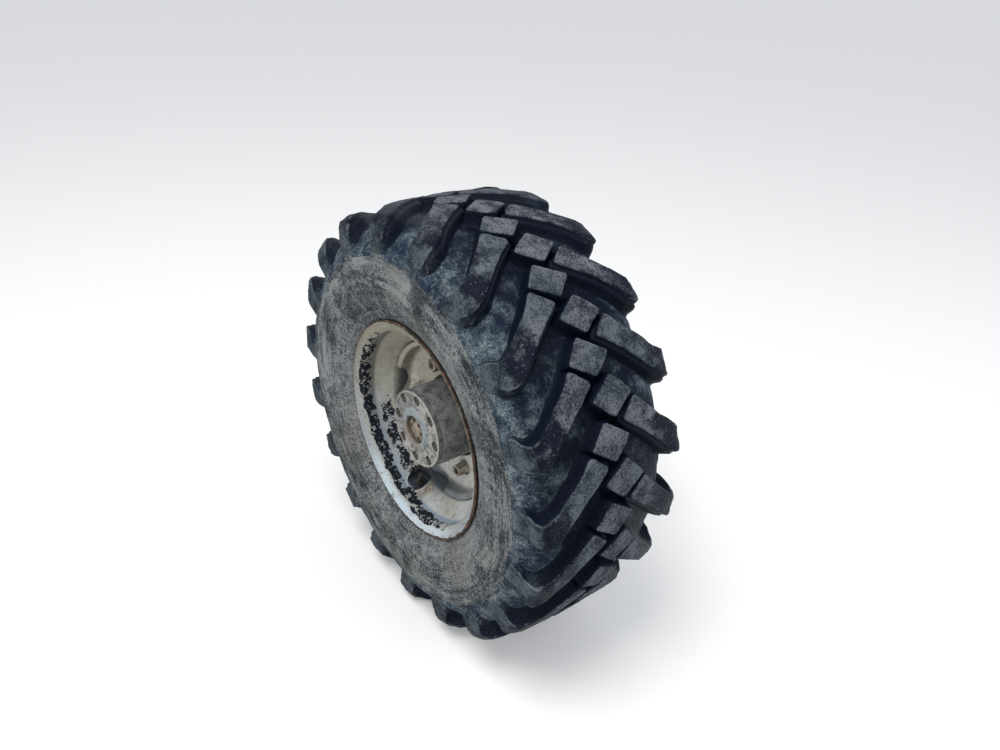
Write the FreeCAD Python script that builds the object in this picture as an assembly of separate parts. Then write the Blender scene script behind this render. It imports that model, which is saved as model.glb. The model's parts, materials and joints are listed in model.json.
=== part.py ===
import FreeCAD, Part
import math
import os

# Wheel end of a site dumper: a 405/70-20 lugged tyre on a 13 x 20 rim, carried by a planetary hub
# on the outer end of a rigid axle arm. Millimetres. The origin is the centre of the arm's inner
# flange face, which looks along +Y to the differential. The wheel's outer face looks along -Y,
# the machine travels along -X, and +Z is up. Angles round the wheel run from +X towards +Z.
# An offset is measured along the axle from the wheel's centre plane, and inboard is positive.

Vector = FreeCAD.Vector
ORIGIN = Vector(0, 0, 0)
AXLE = Vector(0, 1, 0)
OUTWARD = Vector(1, 0, 0)

# Overall layout
wheel_offset = 480.0          # wheel's centre plane to the arm's inner flange face

# Rim, 13 x 20
rim_half_width = 165.1
stud_to_well = 67.5           # stud circle to the well's inner face
bead_face = 11.0              # height of the upright face that bead and flange share
rim_wall = 9.0
flange_height = 21.4
flange_curl = 15.0            # how far the rolled lip stands outside the rim width
lip_round = 5.0
lip_root = 3.0                # from the rim width out to the lip's inner root
well_depth = 43.0             # brings the bead seats to 257 mm, a 20 inch rim's radius
seat_width = 30.0
slope_width = 40.0

# Valve pocket in the rim's outer slope, and its valve
pocket_angle = 252.5
pocket_offset = -107.0
pocket_radius = 32.0
pocket_wall = 6.0
pocket_seat_gap = 2.0         # pocket's floor inside the bead seat's inner face
valve_radius = 7.0
valve_collar_flats = 20.0
valve_collar_height = 5.0
valve_stem_radius = 4.5
valve_length = 42.0

# Tyre
tyre_radius = 539.5           # over the lugs
lug_depth = 36.0
lugs_per_side = 19
tread_phase = 59.6            # middle of the crown block nearest the top
bead_gap = 0.3                # bead to its seat
bead_outset = 1.5             # top of the bead's upright face beyond the flange's
tread_sides = 57              # flats round the tread between the lugs, three to a lug
tread_flat_half_width = 122.0
sidewall_half_width = 201.0
sidewall_height = 189.0       # bead seat to the top of the flat of the sidewall
sidewall_foot = 73.0          # bead seat to the foot of the flat of the sidewall
lug_draft = 0.06              # growth of a lug's outline from its top to its foot
lug_foot_depth = 54.0         # crown blocks' sunk foot below the tyre's radius
buttress_depth = 120.0        # the same of the shoulder lugs
shoulder_lag = 12.1           # angle of a shoulder lug's middle behind its crown block's

# Lug outlines on the tread: along the tread from the block's middle, and offset
crown_block = [(4, 40), (-43, -8), (-8, -66), (46, -16)]
shoulder_block = [(61, -26), (101, -74), (-8, -200), (-12, -230), (-86, -230), (-68, -161)]

# Flats cut on the lugs: depth below the tyre's radius, offset and distance along of a point on
# the flat, and its tilt in degrees from the tread towards the sidewall
crown_cuts = [(2.0, 0, 2, 0)]
shoulder_cuts = [(2.0, 0, 58, 0), (1.9, -100, -8, 7.5), (12.5, -191, -40, 79), (89.5, -205, -40, 140)]

# Disc: a shallow cup, open outwards, welded into the well
disc_front = -49.0            # front face's offset
disc_thickness = 12.0
bore_to_stud = 31.5           # bore's edge to the stud circle
cup_rise = 46.0               # front face to the cup's welded edge
cup_wall = 12.0
cup_draft = 3.0
cove_width = 14.0
cove_depth = 14.0
weld_rise = 4.0
weld_length = 25.0
hand_holes = 4
hand_hole_phase = 175.0
hand_hole_radius = 48.0
hand_hole_offset = -105.0     # its centre, beyond the cup's edge, so that half of it shows

# Studs and nuts
studs = 6
stud_circle = 137.5
stud_phase = 114.3
stud_radius = 10.0
stud_hole_gap = 1.0
nut_across_flats = 30.0
nut_height = 20.0
nut_collar_radius = 20.0
nut_collar_height = 9.0
stud_recess = 4.0             # end of the stud below the nut's top
stud_head_flats = 27.0
stud_head_height = 7.0

# Hub
hub_flange_margin = 24.5      # stud circle to the flange's edge
hub_flange_thickness = 22.0
barrel_to_stud = 19.5         # barrel to the stud circle
hub_barrel_end = 60.0         # inner end's offset
drum_gap = 6.0                # drum to the disc's bore
cover_inset = 1.5             # cover's edge inside the drum's
cover_face = -158.7           # outer face's offset
cover_thickness = 16.0
cover_ring_radius = 57.0
cover_ring_inner = 36.0
cover_ring_height = 6.0
cover_recess_depth = 8.0
cover_bolts = 8
cover_bolt_margin = 16.5      # bolt circle to the cover's edge
cover_bolt_phase = -3.0
counterbore_radius = 10.0
counterbore_depth = 10.0
cover_bolt_flats = 16.0
cover_bolt_height = 7.0
cap_gap = 6.0                 # cap's edge to the cover's ring
cap_height = 4.0
cap_screws = 6
cap_screw_circle = 22.0
cap_screw_flats = 7.0
cap_screw_height = 4.0

# Spindle and its bearing
spindle_radius = 62.0
bearing_gap = 0.05
spindle_end = -10.0           # outer end's offset
end_play = 3.0

# Brake housing
running_gap = 6.0             # hub's inner end to the brake housing
brake_radius = 150.0
brake_length = 84.0
brake_rib_height = 8.0
brake_rib_width = 12.0
port_flats = 22.0
port_height = 16.0
bleed_flats = 12.0
bleed_height = 20.0
fitting_lean = 28.0           # port and bleed screw, in degrees each side of the top
fitting_sink = 4.0            # depth that their feet reach to meet the round housing

# Axle arm
arm_flange_margin = 16.0      # housing bolts' circle to the outer flange's edge
arm_flange_thickness = 18.0
arm_root_radius = 95.0
arm_neck_radius = 72.0
arm_root_length = 60.0
inner_flange_margin = 23.0    # bolt circle to the inner flange's edge
inner_flange_thickness = 22.0
inner_flare_radius = 96.0
inner_flare_length = 40.0
inner_holes = 8
inner_hole_circle = 112.0
inner_hole_radius = 9.0
shaft_bore_radius = 32.0
shaft_bore_length = 120.0
housing_bolts = 12
housing_bolt_circle = 124.0
housing_bolt_flats = 22.0
housing_bolt_height = 9.0
housing_bolt_phase = 15.0
rib_thickness = 14.0
rib_outset = 30.0             # rib's height over the neck at the outer flange
rib_low = 8.0                 # rib's height over the neck along its middle
rib_root = 14.0               # rib's root below the neck's surface

# Chassis pad on top of the arm
pad_length = 150.0            # along the machine
pad_width = 116.0             # along the axle
pad_top = 104.0               # above the axle's line
pad_plate = 22.0
pad_undercut = 40.0           # flanks' slope in from the plate to the axle's level
pad_offset = 330.0
pad_root = 10.0               # pad's root below the neck's surface
pad_hole_x = 110.0
pad_hole_y = 76.0
pad_hole_radius = 8.5
pad_hole_depth = 34.0

CUTTER = 5.0                  # how far a cutting tool runs past the face that it opens


def plane(offset):
    """Part's Y of an offset from the wheel's centre plane."""
    return offset - wheel_offset


def turned(outline):
    """Solid turned round the axle's line from an outline of (radius, offset) points."""
    points = [Vector(radius, plane(offset), 0) for radius, offset in outline]
    return Part.Face(Part.makePolygon(points + points[:1])).revolve(ORIGIN, AXLE, 360)


def at_angle(shape, degrees):
    """Copy of a shape turned round the axle from +X towards +Z."""
    return shape.rotated(ORIGIN, AXLE, -degrees)


def ring_of(shape, count, phase):
    return [at_angle(shape, phase + step * 360.0 / count) for step in range(count)]


def rod(radius, start, end, circle=0.0):
    """Cylinder along the axle between two offsets, its centre at +X on the given circle."""
    return Part.makeCylinder(radius, end - start, Vector(circle, plane(start), 0), AXLE)


def spoke(radius, foot, top, offset):
    """Cylinder pointing away from the axle along +X, between two radii."""
    return Part.makeCylinder(radius, top - foot, Vector(foot, plane(offset), 0), OUTWARD)


def hexagon(across_flats, start, end, circle):
    """Six-sided bar along the axle between two offsets, its centre at +X on the given circle."""
    corner = across_flats / math.sqrt(3)
    angles = [math.radians(60 * side) for side in range(7)]
    points = [Vector(circle + corner * math.cos(a), plane(start), corner * math.sin(a)) for a in angles]
    return Part.Face(Part.makePolygon(points)).extrude(Vector(0, end - start, 0))


def hexagon_spoke(across_flats, foot, top, offset):
    """Six-sided bar pointing away from the axle along +X, between two radii."""
    corner = across_flats / math.sqrt(3)
    angles = [math.radians(60 * side) for side in range(7)]
    points = [Vector(foot, plane(offset) + corner * math.cos(a), corner * math.sin(a)) for a in angles]
    return Part.Face(Part.makePolygon(points)).extrude(Vector(top - foot, 0, 0))


def cut_all(shape, cutters):
    for cutter in cutters:
        shape = shape.cut(cutter)
    return shape


def both_sides(half):
    """Outline points of the outer half, (radius, offset), followed by their mirror images."""
    return half + [(radius, -offset) for radius, offset in reversed(half)]


def skinned(rings):
    """Solid with flat faces between polygons of equally many corners, closed at both ends."""
    count = len(rings[0])
    faces = [Part.Face(Part.makePolygon(ring + ring[:1])) for ring in (rings[0], rings[-1])]
    for low, high in zip(rings[:-1], rings[1:]):
        for index in range(count):
            after = (index + 1) % count
            corners = [low[index], low[after], high[after], high[index]]
            faces.append(Part.Face(Part.makePolygon(corners + corners[:1])))
    return Part.makeSolid(Part.makeShell(faces))


# Wheel sizes that follow the stud circle

well_inner = stud_circle + stud_to_well
well_outer = well_inner + rim_wall
bead_seat_radius = well_outer + well_depth
disc_bore = stud_circle - bore_to_stud
hub_barrel_radius = stud_circle - barrel_to_stud


# Tyre: a carcass, and two rows of lugs staggered by half a pitch

tread_base = tyre_radius - lug_depth
sidewall_top = bead_seat_radius + sidewall_height
pitch = 360.0 / lugs_per_side


def make_carcass():
    """Many-sided tread band between the lugs, on round sidewalls and beads."""
    mean = 1 / math.sqrt(math.cos(math.pi / tread_sides))
    stations = both_sides([(sidewall_top, -sidewall_half_width), (tread_base, -tread_flat_half_width)])
    rings = []
    for radius, offset in stations:
        ring = []
        for side in range(tread_sides):
            angle = math.radians(tread_phase + side * 360.0 / tread_sides)
            across = mean * radius * math.cos(angle)
            up = mean * radius * math.sin(angle)
            ring.append(Vector(across, plane(offset), up))
        rings.append(ring)
    seam = (sidewall_top + bead_seat_radius + sidewall_foot) / 2
    band = skinned(rings).cut(rod(seam, -sidewall_half_width - CUTTER, sidewall_half_width + CUTTER))
    sides = turned(both_sides([
        (bead_seat_radius + bead_gap, -rim_half_width),
        (bead_seat_radius + bead_face + bead_outset, -rim_half_width),
        (bead_seat_radius + sidewall_foot, -sidewall_half_width),
        (seam, -sidewall_half_width),
    ]))
    return band.fuse(sides).removeSplitter()


def drafted_block(corners, foot_depth):
    """Lug outline raised along +X from its foot to above the tyre's radius, growing to its foot."""
    middle_s = sum(s for s, y in corners) / len(corners)
    middle_y = sum(y for s, y in corners) / len(corners)
    rings = []
    for depth in (foot_depth, -lug_depth / 2):
        growth = 1 + lug_draft * depth / foot_depth
        ring = []
        for s, y in corners:
            across = middle_y + (y - middle_y) * growth
            along = middle_s + (s - middle_s) * growth
            ring.append(Vector(tyre_radius - depth, plane(across), along))
        rings.append(ring)
    return skinned(rings)


def cut_flat(shape, depth, offset, along, tilt):
    """Cut away what lies beyond a plane: tilt 0 faces outwards, 90 faces the sidewall."""
    radius = tyre_radius - depth
    reach = tyre_radius
    box = Part.makeBox(reach, reach, reach, Vector(0, -reach / 2, -reach / 2))
    box = box.rotated(ORIGIN, Vector(0, 0, 1), -tilt)
    box.translate(Vector(radius, plane(offset), 0))
    turn = math.degrees(math.atan2(along, radius))
    return shape.cut(at_angle(box, turn))


def make_tyre():
    crown = drafted_block(crown_block, lug_foot_depth)
    for depth, offset, along, tilt in crown_cuts:
        crown = cut_flat(crown, depth, offset, along, tilt)
    shoulder = drafted_block(shoulder_block, buttress_depth)
    for depth, offset, along, tilt in shoulder_cuts:
        shoulder = cut_flat(shoulder, depth, offset, along, tilt)
    centre = Vector(0, plane(0), 0)
    lugs = []
    for block in (crown, at_angle(shoulder, -shoulder_lag)):
        lugs += ring_of(block, lugs_per_side, tread_phase)
        mirrored = block.mirror(centre, AXLE)
        lugs += ring_of(mirrored, lugs_per_side, tread_phase + pitch / 2)
    return make_carcass().multiFuse(lugs)


# Rim barrel with rolled flanges, bead seats, slopes and a well, and a pocket for the valve

flange_radius = bead_seat_radius + flange_height
lip_offset = rim_half_width + flange_curl
seat_inner = bead_seat_radius - rim_wall
slope_start = rim_half_width - seat_width
slope_end = slope_start - slope_width
pocket_floor = seat_inner - pocket_seat_gap
pocket_back = pocket_floor + rim_wall - pocket_seat_gap


def make_rim_barrel():
    barrel = turned(both_sides([
        (well_outer, -slope_end), (bead_seat_radius, -slope_start), (bead_seat_radius, -rim_half_width),
        (bead_seat_radius + bead_face, -rim_half_width),
        (flange_radius, -lip_offset + lip_round), (flange_radius - lip_round, -lip_offset),
        (seat_inner, -rim_half_width - lip_root), (seat_inner, -slope_start), (well_inner, -slope_end),
    ][::-1]))
    cup = spoke(pocket_radius + pocket_wall, well_outer - CUTTER, pocket_back, pocket_offset)
    pocket = spoke(pocket_radius, well_inner - CUTTER, pocket_floor, pocket_offset)
    hole = spoke(valve_radius, pocket_floor - CUTTER, pocket_back + CUTTER, pocket_offset)
    barrel = barrel.fuse(at_angle(cup, pocket_angle))
    return cut_all(barrel, [at_angle(pocket, pocket_angle), at_angle(hole, pocket_angle)])


def make_valve():
    """Valve in the pocket's floor, pointing at the axle."""
    collar_foot = pocket_floor - valve_collar_height
    seat = spoke(valve_radius, pocket_floor, pocket_back, pocket_offset)
    collar = hexagon_spoke(valve_collar_flats, collar_foot, pocket_floor, pocket_offset)
    stem = spoke(valve_stem_radius, pocket_floor - valve_length, collar_foot, pocket_offset)
    return at_angle(collar.multiFuse([seat, stem]), pocket_angle)


# Disc: flat face, cove and skirt, with half-round hand holes cut in the skirt's edge

disc_back = disc_front + disc_thickness
cup_edge = disc_front - cup_rise
skirt_inner = well_inner - cup_wall
cove_end = skirt_inner - cup_draft
disc_flat = cove_end - cove_width


def make_disc():
    disc = turned([
        (disc_bore, disc_back), (disc_bore, disc_front), (disc_flat, disc_front),
        (cove_end, disc_front - cove_depth), (skirt_inner, cup_edge + weld_rise),
        (well_inner, cup_edge), (well_inner, cup_edge + weld_length), (cove_end, disc_back),
    ])
    opening = spoke(hand_hole_radius, disc_bore, well_inner + CUTTER, hand_hole_offset)
    stud_hole = rod(stud_radius + stud_hole_gap, disc_front - CUTTER, disc_back + CUTTER, stud_circle)
    disc = cut_all(disc, ring_of(opening, hand_holes, hand_hole_phase))
    return cut_all(disc, ring_of(stud_hole, studs, stud_phase))


# Hub body: stud flange and bearing barrel in one casting, closed at its outer end

hub_flange_front = disc_back
hub_flange_back = hub_flange_front + hub_flange_thickness
hub_flange_radius = stud_circle + hub_flange_margin


def make_hub():
    bore = spindle_radius + bearing_gap
    body = turned([
        (0, hub_flange_front), (hub_flange_radius, hub_flange_front), (hub_flange_radius, hub_flange_back),
        (hub_barrel_radius, hub_flange_back), (hub_barrel_radius, hub_barrel_end),
        (bore, hub_barrel_end), (bore, spindle_end - end_play), (0, spindle_end - end_play),
    ])
    hole = rod(stud_radius, hub_flange_front - CUTTER, hub_flange_back + CUTTER, stud_circle)
    return cut_all(body, ring_of(hole, studs, stud_phase))


nut_front = disc_front - nut_collar_height - nut_height


def make_studs():
    stud = rod(stud_radius, nut_front + stud_recess, hub_flange_back, stud_circle)
    head = hexagon(stud_head_flats, hub_flange_back, hub_flange_back + stud_head_height, stud_circle)
    return Part.makeCompound(ring_of(stud.fuse(head), studs, stud_phase))


def make_nuts():
    collar_front = disc_front - nut_collar_height
    body = hexagon(nut_across_flats, nut_front, collar_front, stud_circle)
    collar = rod(nut_collar_radius, collar_front, disc_front, stud_circle)
    bore = rod(stud_radius, nut_front, disc_front, stud_circle)
    return Part.makeCompound(ring_of(body.fuse(collar).cut(bore), studs, stud_phase))


# Planetary drum, its end cover and their fastenings

drum_radius = disc_bore - drum_gap
cover_radius = drum_radius - cover_inset
cover_bolt_circle = cover_radius - cover_bolt_margin
cover_back = cover_face + cover_thickness
cover_floor = cover_face + cover_recess_depth


def make_drum():
    return rod(drum_radius, cover_back, hub_flange_front)


def make_cover():
    ring_top = cover_face - cover_ring_height
    cover = turned([
        (0, cover_back), (0, cover_floor), (cover_ring_inner, cover_floor), (cover_ring_inner, ring_top),
        (cover_ring_radius, ring_top), (cover_ring_radius, cover_face), (cover_radius, cover_face),
        (cover_radius, cover_back),
    ])
    well = rod(counterbore_radius, cover_face - CUTTER, cover_face + counterbore_depth, cover_bolt_circle)
    return cut_all(cover, ring_of(well, cover_bolts, cover_bolt_phase))


def make_cover_bolts():
    seat = cover_face + counterbore_depth
    head = hexagon(cover_bolt_flats, seat - cover_bolt_height, seat, cover_bolt_circle)
    return Part.makeCompound(ring_of(head, cover_bolts, cover_bolt_phase))


def make_centre_cap():
    return rod(cover_ring_inner - cap_gap, cover_floor - cap_height, cover_floor)


def make_cap_screws():
    seat = cover_floor - cap_height
    screw = hexagon(cap_screw_flats, seat - cap_screw_height, seat, cap_screw_circle)
    return Part.makeCompound(ring_of(screw, cap_screws, stud_phase))


# Stationary side: spindle, brake housing, arm with its flanges, ribs and pad

brake_front = hub_barrel_end + running_gap
brake_back = brake_front + brake_length
brake_rib_start = brake_back - brake_rib_width
brake_rib_radius = brake_radius + brake_rib_height
arm_front = brake_back
arm_flange_back = arm_front + arm_flange_thickness
flange_face = wheel_offset
inner_flange_back = flange_face - inner_flange_thickness


def make_spindle():
    return rod(spindle_radius, spindle_end, brake_front)


def make_brake_housing():
    return turned([
        (0, brake_front), (brake_radius, brake_front), (brake_radius, brake_rib_start),
        (brake_rib_radius, brake_rib_start), (brake_rib_radius, brake_back), (0, brake_back),
    ])


def make_fitting(across_flats, height, lean):
    """Screwed fitting standing on the brake housing's rim, leaning fore or aft of the top."""
    middle = (brake_front + brake_rib_start) / 2
    stem = hexagon_spoke(across_flats, brake_radius - fitting_sink, brake_radius + height, middle)
    return at_angle(stem, 90 + lean).cut(rod(brake_radius, brake_front, brake_back))


def make_housing_bolts():
    head = hexagon(housing_bolt_flats, arm_flange_back, arm_flange_back + housing_bolt_height,
                   housing_bolt_circle)
    return Part.makeCompound(ring_of(head, housing_bolts, housing_bolt_phase))


def make_rib():
    """Web between the flanges, in the plane through the axle's line, pointing along +X."""
    root = arm_neck_radius - rib_root
    crest = arm_neck_radius + rib_low
    outline = [
        (root, arm_flange_back), (arm_neck_radius + rib_outset, arm_flange_back),
        (crest, arm_flange_back + arm_root_length), (crest, inner_flange_back - inner_flare_length),
        (inner_flare_radius, inner_flange_back), (root, inner_flange_back),
    ]
    points = [Vector(radius, plane(offset), -rib_thickness / 2) for radius, offset in outline]
    face = Part.Face(Part.makePolygon(points + points[:1]))
    return face.extrude(Vector(0, 0, rib_thickness))


def make_pad():
    """Cast saddle on top of the neck: a flat plate on flanks that run down into the arm."""
    half = pad_length / 2
    outline = [
        (-half, pad_top), (half, pad_top), (half, pad_top - pad_plate),
        (half - pad_undercut, 0), (pad_undercut - half, 0), (-half, pad_top - pad_plate),
    ]
    near = plane(pad_offset - pad_width / 2)
    points = [Vector(x, near, z) for x, z in outline]
    saddle = Part.Face(Part.makePolygon(points + points[:1])).extrude(Vector(0, pad_width, 0))
    return saddle.cut(rod(arm_neck_radius - pad_root, arm_flange_back, inner_flange_back))


def make_arm():
    arm_flange_radius = housing_bolt_circle + arm_flange_margin
    inner_flange_radius = inner_hole_circle + inner_flange_margin
    casing = turned([
        (0, arm_front), (arm_flange_radius, arm_front), (arm_flange_radius, arm_flange_back),
        (arm_root_radius, arm_flange_back), (arm_neck_radius, arm_flange_back + arm_root_length),
        (arm_neck_radius, inner_flange_back - inner_flare_length), (inner_flare_radius, inner_flange_back),
        (inner_flange_radius, inner_flange_back), (inner_flange_radius, flange_face), (0, flange_face),
    ])
    ribs = [at_angle(make_rib(), angle) for angle in (0, 180, 270)]
    arm = casing.multiFuse(ribs + [make_pad()])
    arm = arm.cut(rod(shaft_bore_radius, flange_face - shaft_bore_length, flange_face + CUTTER))
    flange_hole = rod(inner_hole_radius, inner_flange_back - CUTTER, flange_face + CUTTER, inner_hole_circle)
    arm = cut_all(arm, ring_of(flange_hole, inner_holes, 360.0 / inner_holes / 2))
    for side in (-1, 1):
        for row in (-1, 1):
            place = Vector(side * pad_hole_x / 2, plane(pad_offset + row * pad_hole_y / 2), pad_top)
            arm = arm.cut(Part.makeCylinder(pad_hole_radius, pad_hole_depth, place, Vector(0, 0, -1)))
    return arm


def main():
    os.makedirs("parts", exist_ok=True)
    parts = {
        "tyre": make_tyre(),
        "rim_barrel": make_rim_barrel(),
        "rim_disc": make_disc(),
        "tyre_valve": make_valve(),
        "hub_body": make_hub(),
        "wheel_studs": make_studs(),
        "wheel_nuts": make_nuts(),
        "hub_drum": make_drum(),
        "hub_end_cover": make_cover(),
        "end_cover_bolts": make_cover_bolts(),
        "hub_centre_cap": make_centre_cap(),
        "centre_cap_screws": make_cap_screws(),
        "spindle": make_spindle(),
        "brake_housing": make_brake_housing(),
        "brake_port": make_fitting(port_flats, port_height, fitting_lean),
        "bleed_screw": make_fitting(bleed_flats, bleed_height, -fitting_lean),
        "housing_bolts": make_housing_bolts(),
        "axle_arm": make_arm(),
    }
    for name, shape in parts.items():
        shape.exportStep("parts/" + name + ".step")
        print(name, len(shape.Solids), shape.isValid(), round(shape.Volume / 1000))


main()
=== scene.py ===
import json
import math
import random

import bmesh
import bpy
from mathutils import Matrix, Vector, noise


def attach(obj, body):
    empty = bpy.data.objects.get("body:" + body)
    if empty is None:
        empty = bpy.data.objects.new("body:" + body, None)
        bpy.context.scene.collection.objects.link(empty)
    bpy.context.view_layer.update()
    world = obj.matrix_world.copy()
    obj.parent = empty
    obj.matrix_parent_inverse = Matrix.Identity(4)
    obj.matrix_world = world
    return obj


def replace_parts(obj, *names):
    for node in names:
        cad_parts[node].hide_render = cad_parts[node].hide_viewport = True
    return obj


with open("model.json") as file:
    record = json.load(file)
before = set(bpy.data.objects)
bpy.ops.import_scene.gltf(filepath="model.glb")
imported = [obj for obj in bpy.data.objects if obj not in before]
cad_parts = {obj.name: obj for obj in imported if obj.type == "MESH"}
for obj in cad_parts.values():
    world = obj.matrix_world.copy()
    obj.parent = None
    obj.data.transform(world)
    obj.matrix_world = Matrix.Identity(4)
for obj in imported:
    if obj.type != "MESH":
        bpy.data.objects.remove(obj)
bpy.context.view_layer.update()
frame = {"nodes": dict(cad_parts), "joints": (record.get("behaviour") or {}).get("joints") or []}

# Wheel end of a site dumper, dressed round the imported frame. The frame is in metres. Shapes that
# turn about the axle are written in millimetres, as a radius, an offset from the wheel's centre
# plane (inboard is positive) and an angle in degrees from +X towards +Z, and MM brings them over.

MM = 0.001
WELD_REACH = 0.02 * MM        # points this close together are one point
nodes = frame["nodes"]
scene = bpy.context.scene
random.seed(7)
noise.seed_set(7)             # without it the vector noise differs from run to run

hub_joint = next(joint for joint in frame["joints"] if joint["name"] == "wheel_spin")
WHEEL_PLANE = hub_joint["pos_m"][1] / MM


def place(radius, offset, degrees):
    """Point in the frame from a radius, an offset and an angle round the axle."""
    turn = math.radians(degrees)
    return Vector((radius * math.cos(turn), WHEEL_PLANE + offset, radius * math.sin(turn))) * MM


def lerp(a, b, share):
    return a + (b - a) * share


def smooth(low, high, value):
    """Soft step from 0 at low to 1 at high."""
    share = min(1.0, max(0.0, (value - low) / (high - low)))
    return share * share * (3 - 2 * share)


def along(table, value):
    """The other columns of a table at a value of its first column, straight between rows."""
    value = min(max(value, table[0][0]), table[-1][0])
    low, high = next(pair for pair in zip(table[:-1], table[1:]) if value <= pair[1][0])
    share = (value - low[0]) / (high[0] - low[0])
    return [lerp(a, b, share) for a, b in zip(low[1:], high[1:])]


# Camera, floor and light

PHOTO_WIDTH = 1000
PHOTO_FOCUS = 803.587         # focal length in the photo's pixels
SENSOR = 36.0


def look(yaw, pitch, roll):
    """Camera axes from its heading, its rise and its tilt, in radians."""
    forward = Vector((math.cos(pitch) * math.cos(yaw), math.cos(pitch) * math.sin(yaw), math.sin(pitch)))
    right = forward.cross(Vector((0, 0, 1))).normalized()
    up = right.cross(forward)
    right, up = (right * math.cos(roll) + up * math.sin(roll), up * math.cos(roll) - right * math.sin(roll))
    return Matrix((right, up, -forward)).transposed().to_4x4()


def add_camera():
    data = bpy.data.cameras.new("camera")
    data.sensor_width = SENSOR
    data.lens = PHOTO_FOCUS * SENSOR / PHOTO_WIDTH
    camera = bpy.data.objects.new("camera", data)
    spot = Matrix.Translation(Vector((1.37922, -1.49410, 1.11175)))
    camera.matrix_world = spot @ look(2.464386, -0.531625, 0.049006)
    scene.collection.objects.link(camera)
    scene.camera = camera


add_camera()


class Steps:
    """A node tree put together from small steps. Each value is a socket or a plain number."""

    def __init__(self, tree):
        self.tree = tree

    def step(self, kind, inputs=(), **settings):
        node = self.tree.nodes.new(kind)
        for key, value in settings.items():
            setattr(node, key, value)
        for key, value in inputs:
            self.feed(node.inputs[key], value)
        return node

    def feed(self, socket, value):
        if isinstance(value, bpy.types.NodeSocket):
            self.tree.links.new(value, socket)
        elif isinstance(value, tuple) and len(socket.default_value) == 4:
            socket.default_value = (*value, 1)
        else:
            socket.default_value = value

    def math(self, operation, *values):
        return self.step("ShaderNodeMath", enumerate(values), operation=operation).outputs[0]

    def add(self, *values):
        total = values[0]
        for value in values[1:]:
            total = self.math("ADD", total, value)
        return total

    def times(self, *values):
        total = values[0]
        for value in values[1:]:
            total = self.math("MULTIPLY", total, value)
        return total

    def seen_by(self, first, *others):
        """One for the kinds of ray that are named, and zero for the rest."""
        rays = self.step("ShaderNodeLightPath").outputs
        seen = rays[first]
        for other in others:
            seen = self.math("MAXIMUM", seen, rays[other])
        return seen


class Paint(Steps):
    """A material, with what its colours need: noise, soft steps and the place on the wheel."""

    def __init__(self, name):
        self.material = bpy.data.materials.new(name)
        self.material.use_nodes = True
        super().__init__(self.material.node_tree)
        self.shader = self.tree.nodes["Principled BSDF"]
        self.point = self.step("ShaderNodeTexCoord").outputs["Object"]

    def swing(self, noise_value, size):
        """Noise about zero, of a given size."""
        return self.times(self.math("SUBTRACT", noise_value, 0.5), size)

    def attribute(self, name):
        return self.step("ShaderNodeAttribute", attribute_name=name).outputs["Fac"]

    def fade(self, value, low, high, start=0.0, end=1.0):
        """Soft step from start to end as a value goes from low to high."""
        inputs = enumerate((value, low, high, start, end))
        return self.step("ShaderNodeMapRange", inputs, interpolation_type="SMOOTHSTEP").outputs[0]

    def band(self, value, low, full_low, full_high, high):
        """One between two values, fading to zero outside them."""
        return self.times(self.fade(value, low, full_low), self.fade(value, high, full_high))

    def curve(self, value, table):
        """Reads a table of (value, result) rows, with results from 0 to 1."""
        low, high = table[0][0], table[-1][0]
        share = self.math("DIVIDE", self.math("SUBTRACT", value, low), high - low)
        node = self.step("ShaderNodeValToRGB", ((0, share),))
        ramp = node.color_ramp.elements
        ramp[0].color = (table[0][1],) * 3 + (1,)
        ramp[-1].color = (table[-1][1],) * 3 + (1,)
        for spot, result in table[1:-1]:
            ramp.new((spot - low) / (high - low)).color = (result, result, result, 1)
        return node.outputs[0]

    def noise(self, scale, detail=3.0, roughness=0.55, point=None, distortion=0.0):
        """Noise from about 0.2 to 0.8, its scale in waves a metre."""
        inputs = (("Vector", point or self.point), ("Scale", scale), ("Detail", detail),
                  ("Roughness", roughness), ("Distortion", distortion))
        return self.step("ShaderNodeTexNoise", inputs).outputs[0]

    def cell_edges(self, point, scale):
        """Distance to the nearest border between scattered cells, for cracks."""
        inputs = (("Vector", point), ("Scale", scale))
        return self.step("ShaderNodeTexVoronoi", inputs, feature="DISTANCE_TO_EDGE").outputs[0]

    def wheel_space(self):
        """Radius and outward offset in millimetres. The turn's cosine and sine are kept."""
        x, y, z = self.step("ShaderNodeSeparateXYZ", ((0, self.point),)).outputs
        metres = self.math("SQRT", self.add(self.times(x, x), self.times(z, z)))
        self.cosine, self.sine = self.math("DIVIDE", x, metres), self.math("DIVIDE", z, metres)
        return self.times(metres, 1 / MM), self.add(self.times(y, -1 / MM), WHEEL_PLANE)

    def drawn_round(self, around, across):
        """Point whose noise is drawn out round the axle, or across it."""
        radius, out_mm = self.wheel_space()
        across_mm = self.times(self.add(radius, self.times(out_mm, 0.7)), across * MM)
        parts = enumerate((self.times(self.cosine, around), self.times(self.sine, around), across_mm))
        return self.step("ShaderNodeCombineXYZ", parts).outputs[0]

    def facing(self, degrees):
        """One where the turn is a given angle, and minus one opposite."""
        turn = math.radians(degrees)
        return self.add(self.times(self.cosine, math.cos(turn)), self.times(self.sine, math.sin(turn)))

    def lerp(self, share, a, b):
        return self.step("ShaderNodeMix", ((0, share), (2, a), (3, b)), data_type="FLOAT").outputs[0]

    def mix(self, share, a, b):
        return self.step("ShaderNodeMix", ((0, share), (6, a), (7, b)), data_type="RGBA").outputs[2]

    def done(self, colour, roughness, height_mm):
        self.feed(self.shader.inputs["Base Color"], colour)
        self.feed(self.shader.inputs["Roughness"], roughness)
        bump = self.step("ShaderNodeBump", (("Height", height_mm), ("Distance", MM), ("Strength", 1.0)))
        self.feed(self.shader.inputs["Normal"], bump.outputs[0])
        return self.material


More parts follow.
